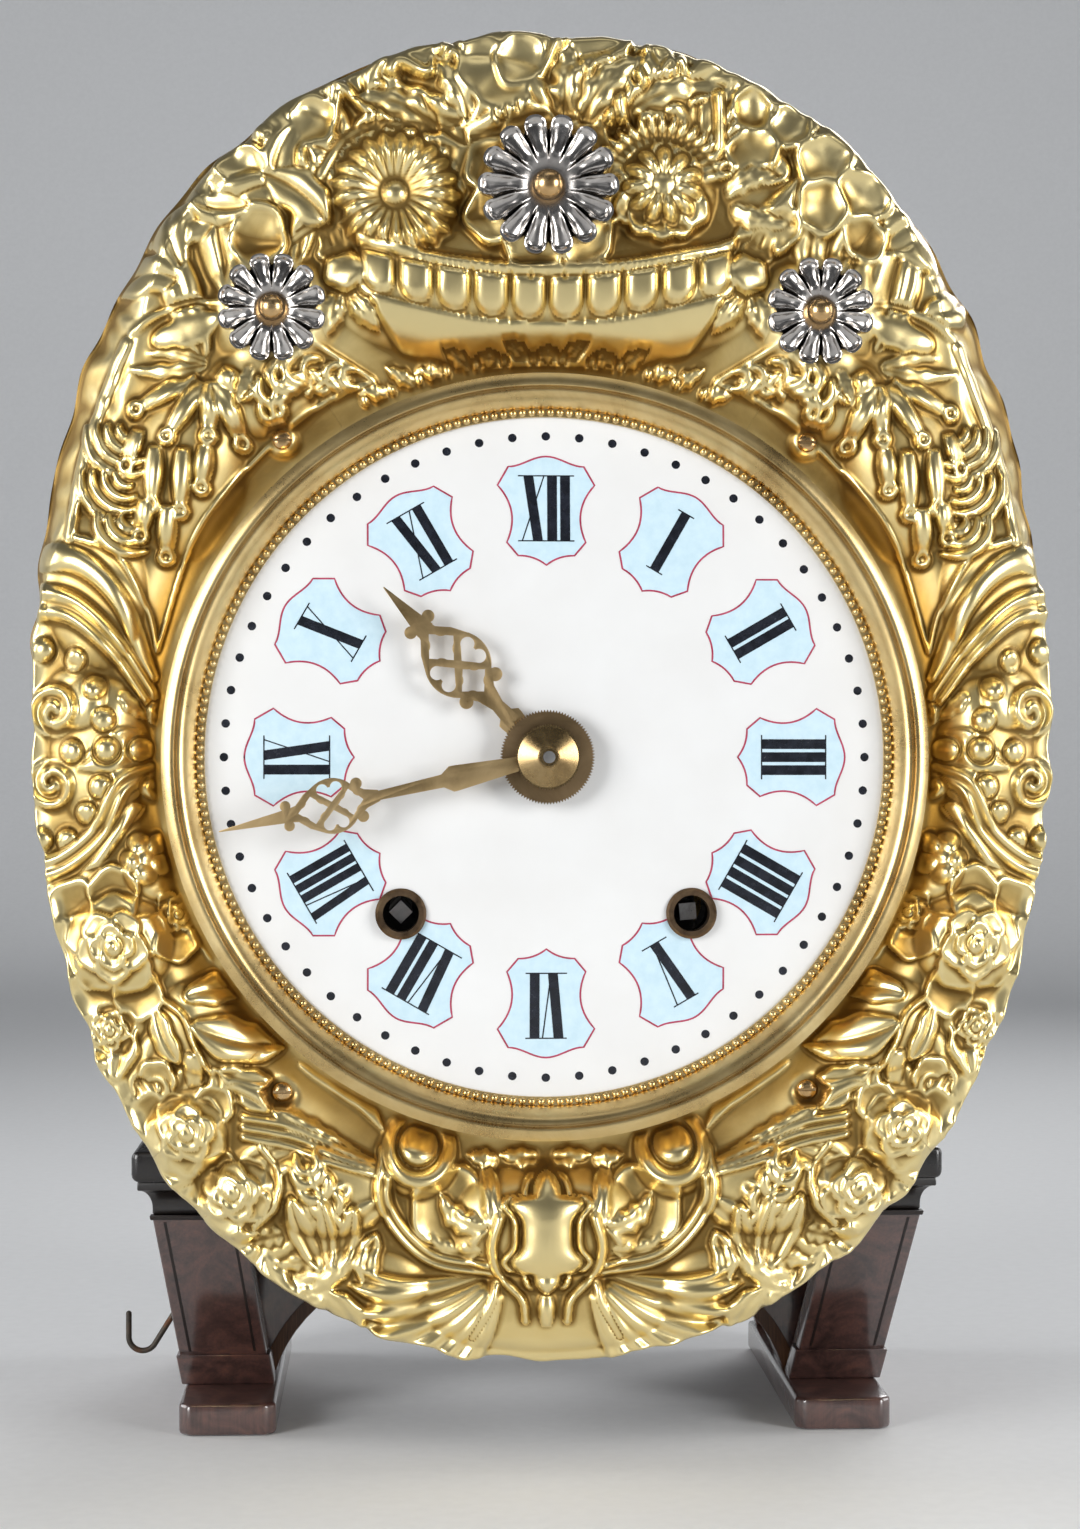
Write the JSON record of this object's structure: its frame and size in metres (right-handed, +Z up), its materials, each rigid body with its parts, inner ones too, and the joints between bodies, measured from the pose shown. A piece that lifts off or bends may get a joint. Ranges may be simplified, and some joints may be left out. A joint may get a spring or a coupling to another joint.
{
  "type": "comtoise clock on a console",
  "caption": "French comtoise clock: domed enamel dial in a pressed brass surround, iron cage movement behind, standing on a mahogany bracket console.",
  "frame": {"origin": "on the table, at the centre of the part's own box seen from above", "axes": "+Z up, +Y from the dial to the back, +X to the right as the viewer faces the dial"},
  "size_m": [0.354, 0.2412, 0.496],
  "materials": {
    "ebonised_wood": "polished black",
    "mahogany": "polished, figured",
    "dark_iron": "blacked forged iron",
    "enamel": "gloss",
    "bronze": "aged satin",
    "dull_brass": "aged satin",
    "pressed_brass": "bright, lacquered",
    "copper_brass": "polished",
    "silvered": "bright",
    "wheel_brass": "satin",
    "steel": "satin"
  },
  "bodies": {
    "clock_frame": {"console_top_board": "ebonised_wood", "console_moulding": "ebonised_wood", "console_left_leg": "mahogany", "console_right_leg": "mahogany", "console_left_foot": "mahogany", "console_right_foot": "mahogany", "console_left_side": "mahogany", "console_right_side": "mahogany", "console_arch_panel": "mahogany", "console_back_board": "mahogany", "side_wire_hook": "dark_iron", "cage_base_plate": "dark_iron", "cage_top_plate": "dark_iron", "cage_corner_posts": "dark_iron", "front_train_bars": "dark_iron", "rear_train_bars": "dark_iron", "back_panel": "dark_iron", "dial_plate": "dark_iron", "plate_posts": "dark_iron", "rack_guides": "dark_iron", "hammer_cocks": "dark_iron", "bell_stand": "dark_iron", "bell_nut": "dark_iron", "enamel_dial": "enamel", "winding_grommets": "bronze", "bell": "bronze", "bezel": "dull_brass", "crest_sheet": "pressed_brass", "left_side_sheet": "pressed_brass", "right_side_sheet": "pressed_brass", "apron_sheet": "pressed_brass", "surround_screws": "copper_brass", "rosette_studs": "copper_brass", "large_rosette": "silvered", "small_rosettes": "silvered", "motion_stud": "steel"},
    "minute_work": {"minute_hand": "dull_brass", "minute_collet": "dull_brass", "minute_arbor": "steel"},
    "hour_work": {"hour_hand": "dull_brass", "hour_disc": "dull_brass", "hour_wheel": "wheel_brass"},
    "motion_work": {"motion_wheel": "wheel_brass"},
    "going_great": {"going_great_wheel": "wheel_brass"},
    "going_drum": {"going_barrel": "steel"},
    "going_second": {"going_second_arbor": "wheel_brass"},
    "going_third": {"going_third_arbor": "wheel_brass"},
    "escape": {"escape_arbor": "wheel_brass"},
    "anchor_and_crutch": {"anchor": "steel", "crutch": "steel"},
    "strike_great": {"strike_great_wheel": "wheel_brass"},
    "strike_drum": {"strike_barrel": "steel"},
    "strike_second": {"pin_wheel_arbor": "wheel_brass"},
    "strike_third": {"strike_third_arbor": "wheel_brass"},
    "strike_fly": {"fly_arbor": "wheel_brass"},
    "rack": {"strike_rack": "steel"},
    "hammer_body": {"hammer": "steel"},
    "left_door_body": {"left_door": "dark_iron"},
    "right_door_body": {"right_door": "dark_iron"}
  },
  "joints": [
    {"name": "minute_turn", "type": "hinge", "parent": "clock_frame", "child": "minute_work", "pos_m": [0, 0.0056, 0.244], "axis": [0, 1, 0], "continuous": true},
    {"name": "hour_turn", "type": "hinge", "parent": "clock_frame", "child": "hour_work", "pos_m": [0, 0.0056, 0.244], "axis": [0, 1, 0], "continuous": true},
    {"name": "motion_turn", "type": "hinge", "parent": "clock_frame", "child": "motion_work", "pos_m": [0, 0.0056, 0.2132], "axis": [0, 1, 0], "continuous": true},
    {"name": "going_second_turn", "type": "hinge", "parent": "clock_frame", "child": "going_second", "pos_m": [0.049, 0.0056, 0.24018], "axis": [0, 1, 0], "continuous": true},
    {"name": "going_great_turn", "type": "hinge", "parent": "clock_frame", "child": "going_great", "pos_m": [0.049, 0.0056, 0.1913], "axis": [0, 1, 0], "continuous": true},
    {"name": "going_wind", "type": "hinge", "parent": "going_great", "child": "going_drum", "pos_m": [0.049, 0.0056, 0.1913], "axis": [0, 1, 0], "continuous": true},
    {"name": "going_third_turn", "type": "hinge", "parent": "clock_frame", "child": "going_third", "pos_m": [0.049, 0.0056, 0.26898], "axis": [0, 1, 0], "continuous": true},
    {"name": "escape_turn", "type": "hinge", "parent": "clock_frame", "child": "escape", "pos_m": [0.049, 0.0056, 0.29278], "axis": [0, 1, 0], "continuous": true},
    {"name": "anchor_swing", "type": "hinge", "parent": "clock_frame", "child": "anchor_and_crutch", "pos_m": [0.049, 0.0056, 0.32078], "axis": [0, 1, 0], "range_deg": [-3, 3]},
    {"name": "strike_turn", "type": "hinge", "parent": "clock_frame", "child": "strike_second", "pos_m": [-0.049, 0.0056, 0.24018], "axis": [0, 1, 0], "continuous": true},
    {"name": "strike_great_turn", "type": "hinge", "parent": "clock_frame", "child": "strike_great", "pos_m": [-0.049, 0.0056, 0.1913], "axis": [0, 1, 0], "continuous": true},
    {"name": "strike_wind", "type": "hinge", "parent": "strike_great", "child": "strike_drum", "pos_m": [-0.049, 0.0056, 0.1913], "axis": [0, 1, 0], "continuous": true},
    {"name": "strike_third_turn", "type": "hinge", "parent": "clock_frame", "child": "strike_third", "pos_m": [-0.049, 0.0056, 0.26898], "axis": [0, 1, 0], "continuous": true},
    {"name": "fly_turn", "type": "hinge", "parent": "clock_frame", "child": "strike_fly", "pos_m": [-0.049, 0.0056, 0.29278], "axis": [0, 1, 0], "continuous": true},
    {"name": "hammer_swing", "type": "hinge", "parent": "clock_frame", "child": "hammer_body", "pos_m": [-0.1, 0.0056, 0.26698], "axis": [0, 1, 0], "range_deg": [-10, 0], "stiffness_Nm_per_rad": 0.6, "springref_deg": 17.19},
    {"name": "rack_slide", "type": "slide", "parent": "clock_frame", "child": "rack", "axis": [0, 0, 1], "range_m": [0, 0.03]},
    {"name": "left_door_swing", "type": "hinge", "parent": "clock_frame", "child": "left_door_body", "pos_m": [-0.1238, 0.0928, 0.236], "axis": [0, 0, -1], "range_deg": [0, 105]},
    {"name": "right_door_swing", "type": "hinge", "parent": "clock_frame", "child": "right_door_body", "pos_m": [0.1238, 0.0928, 0.236], "axis": [0, 0, 1], "range_deg": [0, 105]}
  ],
  "couplings": [
    {"joint": "hour_turn", "follows": "minute_turn", "ratio": 0.083333},
    {"joint": "motion_turn", "follows": "minute_turn", "ratio": -0.33333},
    {"joint": "going_second_turn", "follows": "minute_turn", "ratio": -1},
    {"joint": "going_great_turn", "follows": "minute_turn", "ratio": 0.083333},
    {"joint": "going_third_turn", "follows": "minute_turn", "ratio": 8},
    {"joint": "escape_turn", "follows": "minute_turn", "ratio": -60},
    {"joint": "strike_great_turn", "follows": "strike_turn", "ratio": -0.083333},
    {"joint": "strike_third_turn", "follows": "strike_turn", "ratio": -8},
    {"joint": "fly_turn", "follows": "strike_turn", "ratio": 60}
  ]
}
